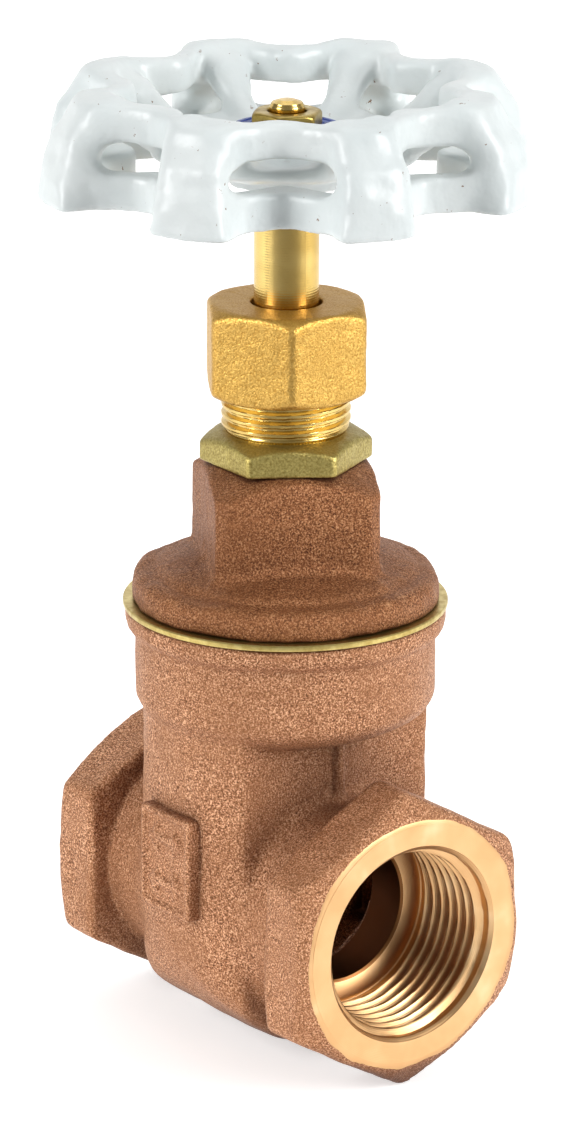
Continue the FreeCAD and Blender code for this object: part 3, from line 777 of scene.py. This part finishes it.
def thread_sleeve(sign):
    """Machined port: face ring, mouth, helical taper thread, relief groove, shoulder and seat tube."""
    outer_r, ring_r = 14.85, 16.4
    ring_x = FACE_X + 0.03
    mouth_x = FACE_X - 0.45
    shoulder_x = SLEEVE_BACK_X + 1.1
    thread_end_x = shoulder_x + 1.6
    seat_x = 7.0

    def thread_radius(x, turn):
        phase = (x / PIPE_PITCH + turn) % 1
        tooth = clamped(abs(phase - 0.5) * 2.7 - 0.12)
        tooth = 0.5 - 0.5 * math.cos(math.pi * tooth)
        run_in = clamped((mouth_x - x) / 1.5)
        run_out = clamped((x - thread_end_x) / 0.6)
        taper = 0.02 * (x - thread_end_x) / 12
        crest = CREST_R + taper + 1.2 * (1 - run_in) + 0.7 * (1 - run_out)
        return min(crest + PIPE_THREAD_DEPTH * tooth, max(CREST_R + PIPE_THREAD_DEPTH, crest))

    rows = [(ring_r, ring_x), (13.5, ring_x), (13.15, FACE_X - 0.35)]
    rows += thread_rows(mouth_x, thread_end_x, 0.14)
    rows += [(12.75, thread_end_x), (13.0, thread_end_x - 0.3), (13.0, shoulder_x + 0.15)]
    rows += [(12.85, shoulder_x), (10.3, shoulder_x), (9.75, shoulder_x - 0.4), (9.6, seat_x)]
    rows += [(10.4, seat_x), (10.4, shoulder_x - 1.0), (outer_r, shoulder_x - 1.0)]
    rows += [(outer_r, FACE_X - 1.2), (ring_r, FACE_X - 1.2)]

    def along_port(u, v, along):
        return sign * along, u, v + PORT_Z

    outward = (0, 3, 2, 1) if sign > 0 else (1, 2, 3, 0)
    sleeve = turned("thread_sleeve", rows, 104, thread_radius, along_port, outward)
    sharp_shading(sleeve, 40)
    return sleeve


def land_bronze():
    """Turned edge of the joint face: yellower than the casting, and a little scratched."""
    s = Shader("land_bronze")
    scratches = s.noise(1.4, 4.0, 0.7)
    s.set("Base Color", s.ramp(scratches, [(0.3, (0.42, 0.29, 0.075)), (0.65, (0.66, 0.53, 0.20))]))
    s.set("Metallic", 1.0)
    s.set("Roughness", s.ramp(scratches, [(0.3, 0.42), (0.7, 0.30)]))
    s.set("Normal", s.bump(scratches, 0.03))
    return s.material


def joint_land():
    """Machined edge of the joint face, seen as a bright ring under the bonnet."""
    inner = BONNET_BORE_R + 0.05
    low = JOINT_Z - 0.85
    ring = turned("joint_land", [
        (inner, low),
        (LAND_R - 0.25, low),
        (LAND_R - 0.05, low + 0.12),
        (LAND_R, low + 0.3),
        (LAND_R, JOINT_Z - 0.15),
        (LAND_R - 0.15, JOINT_Z),
        (inner, JOINT_Z),
    ], 192)
    sharp_shading(ring, 30)
    return ring


def make_body():
    step = 0.62
    low = (-FACE_X - 1.2, -22.5, -0.8)
    high = (FACE_X + 1.2, 22.5, JOINT_Z + 0.6)
    x, y, z = space(low, high, step)
    casting = skin("cast_body", body_distance(x, y, z, step), low, step)
    dress(casting, body_bronze())
    sleeves = [thread_sleeve(1), thread_sleeve(-1)]
    bright = machined_bronze()
    for sleeve in sleeves:
        dress(sleeve, bright)
    land = joint_land()
    dress(land, land_bronze())
    piece = merged("cast_body", [casting, raised_pad()] + sleeves + [land])
    finish_piece(piece, "body", "valve_body")


# ---------------------------------------------------------------- bonnet

def block_distance(x, y, z, radius):
    """The square wrench block, with trimmed corners and a bevelled roof."""
    u, v = turned_axes(x, y, BLOCK_TURN)
    square = both(np.abs(u) - BLOCK_HALF, np.abs(v) - BLOCK_HALF)
    square = both(square, (np.abs(u) + np.abs(v)) * 0.707 - BLOCK_CORNER, 0.25)
    square = both(square, bevel(z - BONNET_TOP_Z, radius - 9.7, BLOCK_BEVEL), 0.3)
    return both(square, z - BONNET_TOP_Z)


def make_bonnet():
    step = 0.36
    base = JOINT_Z + 0.03
    low, high = (-21.5, -21.5, BONNET_LOW_Z - 0.8), (21.5, 21.5, BONNET_TOP_Z + 0.8)
    x, y, z = space(low, high, step)
    radius = np.hypot(x, y)
    rim = both(both(radius - BONNET_RIM_R, z - (base + 3.9), 2.2), base - z, 0.5)
    dome = both(radius - BONNET_DOME_R, (z - (base + 7.2)) + 0.32 * (radius - 9), 1.4)
    shape = join(rim, both(dome, base - z), 0.5)
    shape = join(shape, both(block_distance(x, y, z, radius), base - z), 1.3)
    spigot = both(radius - BONNET_SPIGOT_R, BONNET_LOW_Z - z)
    shape = join(shape, both(spigot, z - (base + 1)))
    shape = roughened(shape, step, (0.15, 5.0, 21), (0.09, 1.6, 22))
    cavity = join(both(radius - 14.9, z - 62.5), both(radius - 8.6, z - 70.5), 2.0)
    cavity = join(join(cavity, radius - STEM_HOLE_R), both(radius - BOX_SOCKET_R, 74.1 - z))
    piece = skin("cast_bonnet", both(shape, -cavity), low, step)
    dress(piece, cast_bronze("bonnet_bronze", BONNET_TONE))
    finish_piece(piece, "bonnet", "valve_body")


# ---------------------------------------------------------------- brass fittings

NUT_BEVEL = (0.84, 0.54)
BOX_BEVEL = (0.80, 0.42)
WHEEL_NUT_BEVEL = (0.82, 0.57)


def make_packing_nut():
    step = 0.25
    (_, _, bottom), (_, _, top) = box_mm("packing_nut")
    low, high = (-12.6, -12.6, bottom - 0.6), (12.6, 12.6, top + 0.6)
    x, y, z = space(low, high, step)
    radius = np.hypot(x, y)
    u, v = turned_axes(x, y, PACKING_NUT_TURN - 90)
    shape = hexagonal(u, v, PACKING_NUT_FLATS, 0.7) + 0 * z
    roof = bevel(z - top, radius - 9.9, NUT_BEVEL)
    floor = bevel(bottom - z, radius - 9.9, NUT_BEVEL)
    shape = both(both(both(both(shape, roof, 0.5), floor, 0.5), z - top, 0.35), bottom - z, 0.35)
    shape = roughened(shape, step, (0.05, 3.0, 31), (0.04, 0.9, 32))
    inside = join(radius - 4.75, both(radius - 8.75, z - (top - 1.8)))
    piece = skin("forged_packing_nut", both(shape, -inside), low, step)
    dress(piece, forged_brass("forged_brass", (0.42, 0.225, 0.040), (0.78, 0.49, 0.130), 0.28, 0.10))
    finish_piece(piece, "packing_nut", "packing_nut")


def make_stuffing_box(bright):
    step = 0.25
    bottom, top = BONNET_TOP_Z + 0.02, BOX_HEXAGON_TOP_Z
    low, high = (-12.4, -12.4, bottom - 0.6), (12.4, 12.4, top + 0.9)
    x, y, z = space(low, high, step)
    radius = np.hypot(x, y)
    u, v = turned_axes(x, y, BOX_TURN - 90)
    shape = hexagonal(u, v, BOX_FLATS, 0.5) + 0 * z
    roof = bevel(z - top, radius - 9.3, BOX_BEVEL)
    shape = both(both(both(shape, roof, 0.4), z - (top + 0.2), 0.3), bottom - z, 0.3)
    shape = roughened(shape, step, (0.04, 1.0, 41))
    piece = skin("stuffing_box_hexagon", both(shape, 7.6 - radius), low, step)
    dress(piece, forged_brass("blasted_brass", (0.27, 0.20, 0.050), (0.60, 0.49, 0.165), 0.3, 0.09))
    neck = threaded_neck()
    dress(neck, bright)
    piece = merged("brass_stuffing_box", [piece, neck])
    finish_piece(piece, "stuffing_box", "valve_body")


def threaded_neck():
    """Turned shank, bore and fine outside thread of the stuffing box, with a helical thread."""
    (_, _, shank_low), (_, _, neck_top) = box_mm("stuffing_box")
    bore_r, packing_r, packing_floor = 4.34, 7.0, 84.6
    thread_low, thread_high = BOX_HEXAGON_TOP_Z + 0.35, neck_top - 0.5

    def thread_radius(z, turn):
        phase = (z / NECK_PITCH - turn) % 1
        tooth = clamped(1.55 - abs(phase - 0.5) * 3.8)
        fade = clamped(thread_high - z) * clamped((z - thread_low) / 0.8)
        return NECK_ROOT_R + (NECK_CREST_R - NECK_ROOT_R) * tooth * fade

    rows = [(bore_r, shank_low), (7.55, shank_low), (7.85, shank_low + 0.3)]
    rows += [(7.85, BOX_HEXAGON_TOP_Z - 0.5), (NECK_ROOT_R, BOX_HEXAGON_TOP_Z + 0.1)]
    rows += thread_rows(thread_low, thread_high, 0.07)
    rows += [(7.9, thread_high + 0.1), (7.6, neck_top), (packing_r, neck_top), (packing_r, packing_floor),
             (bore_r, packing_floor)]
    neck = turned("threaded_neck", rows, 128, thread_radius)
    sharp_shading(neck, 40)
    return neck


def make_handwheel_nut():
    step = 0.16
    (_, _, bottom), (reach, _, top) = box_mm("handwheel_nut")
    flats = reach * 0.88
    low, high = (-6.2, -6.2, bottom - 0.5), (6.2, 6.2, top + 0.5)
    x, y, z = space(low, high, step)
    radius = np.hypot(x, y)
    u, v = turned_axes(x, y, WHEEL_NUT_TURN - 90)
    shape = hexagonal(u, v, flats, 0.4) + 0 * z
    roof = bevel(z - top, radius - flats, WHEEL_NUT_BEVEL)
    shape = both(both(both(shape, roof, 0.3), z - top, 0.25), bottom - z, 0.25)
    piece = skin("hexagon_wheel_nut", both(shape, STEM_END_HOLE_R - radius), low, step)
    dress(piece, shade_darkened_brass())
    finish_piece(piece, "handwheel_nut", "stem_and_wheel")


def make_plate():
    """Thin pressed plate with a raised rim and two embossed rings, no lettering."""
    (_, _, low), (rim, _, high) = box_mm("identification_plate")
    hole = 2.55
    sunk = high - 0.14
    profile = [(hole, low), (rim - 0.1, low), (rim, low + 0.15), (rim, high - 0.1), (rim - 0.15, high),
               (rim - 0.6, high), (rim - 0.8, sunk), (rim - 1.6, sunk), (rim - 1.75, high),
               (rim - 1.95, high), (rim - 2.1, sunk), (5.1, sunk), (4.95, high), (hole, high)]
    piece = turned("pressed_plate", profile, 96)
    sharp_shading(piece, 30)
    dress(piece, blue_lacquer())
    finish_piece(piece, "identification_plate", "stem_and_wheel")


def make_packing():
    """Turned yarn rings that take the place of the CAD packing rings."""
    yarn = braided_packing()
    inner, edge, gap = 4.33, 0.3, 0.02
    for number in range(1, 5):
        node = f"packing_ring_{number}"
        (_, _, low), (reach, _, high) = box_mm(node)
        outer = reach - gap
        middle = (low + high) / 2
        profile = [(inner, low + gap), (outer - edge, low + gap), (outer, low + edge), (outer, middle),
                   (outer, high - edge), (outer - edge, high - gap), (inner, high - gap)]
        ring = turned(f"yarn_ring_{number}", profile, 96)
        ring.data.shade_smooth()
        dress(ring, yarn)
        finish_piece(ring, node, "valve_body")
        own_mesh(ring)


def dress_cad_nodes(bright, cast):
    for node in ("stem", "packing_gland"):
        dress(frame["nodes"][node], bright)
    dress(frame["nodes"]["wedge"], cast)


# ---------------------------------------------------------------- studio

def towards(azimuth, elevation):
    """Unit vector from the valve to a viewer, with azimuth in degrees turned from -Y towards +X."""
    a, e = math.radians(azimuth), math.radians(elevation)
    return Vector((math.sin(a) * math.cos(e), -math.cos(a) * math.cos(e), math.sin(e)))


def make_studio():
    """Floor that bends up into a wall behind the valve."""
    outline = [(-FLOOR_HALF_WIDTH, 0.0), (FLOOR_BACK, 0.0)]
    for i in range(1, FLOOR_BEND_STEPS + 1):
        angle = math.pi / 2 * i / FLOOR_BEND_STEPS
        outline.append((FLOOR_BACK + FLOOR_BEND_RADIUS * math.sin(angle),
                        FLOOR_BEND_RADIUS * (1 - math.cos(angle))))
    outline.append((FLOOR_BACK + FLOOR_BEND_RADIUS, FLOOR_TOP))
    away = -towards(CAMERA_AZIMUTH, 0)
    right = Vector((away.y, -away.x, 0))
    points = []
    for distance, height in outline:
        for side in (-FLOOR_HALF_WIDTH, FLOOR_HALF_WIDTH):
            points.append(list(away * distance + right * side + Vector((0, 0, height))))
    faces = [[2 * i, 2 * i + 1, 2 * i + 3, 2 * i + 2] for i in range(len(outline) - 1)]
    floor = new_object("floor", points, faces)
    floor.data.shade_smooth()
    dress(floor, studio_floor())


def area_light(name, azimuth, elevation, distance, size, watts):
    """A soft box aimed at the middle of the valve."""
    back = towards(CAMERA_AZIMUTH + azimuth, elevation)
    data = bpy.data.lights.new(name, "AREA")
    data.shape = "RECTANGLE"
    data.size, data.size_y = size
    data.energy = watts
    light = bpy.data.objects.new(name, data)
    light.location = Vector((0, 0, LIGHT_AIM_Z)) + back * distance
    light.rotation_euler = (-back).to_track_quat("-Z", "Y").to_euler()
    bpy.context.scene.collection.objects.link(light)


def make_lights():
    for name, values in LIGHTS.items():
        area_light(name, *values)
    world = bpy.data.worlds.new("studio")
    world.use_nodes = True
    world.node_tree.nodes["Background"].inputs["Color"].default_value = (1, 1, 1, 1)
    world.node_tree.nodes["Background"].inputs["Strength"].default_value = WORLD_STRENGTH
    bpy.context.scene.world = world


def make_camera():
    back = towards(CAMERA_AZIMUTH, CAMERA_ELEVATION)
    data = bpy.data.cameras.new("camera")
    data.lens = CAMERA_LENS
    data.sensor_width = 36
    camera = bpy.data.objects.new("camera", data)
    camera.location = Vector((0, 0, CAMERA_AIM_Z)) + back * CAMERA_DISTANCE
    roll = Quaternion((0, 0, 1), math.radians(CAMERA_ROLL))
    camera.rotation_euler = ((-back).to_track_quat("-Z", "Y") @ roll).to_euler()
    bpy.context.scene.collection.objects.link(camera)
    bpy.context.scene.camera = camera


def make_colours():
    settings = bpy.context.scene.view_settings
    settings.view_transform = "Standard"
    settings.look = "None"


make_camera()
make_lights()
make_studio()
make_colours()
brass = turned_brass()
make_body()
make_bonnet()
make_stuffing_box(brass)
make_packing_nut()
make_packing()
make_wheel()
make_handwheel_nut()
make_plate()
dress_cad_nodes(brass, cast_bronze("cast_bronze", BODY_TONE))
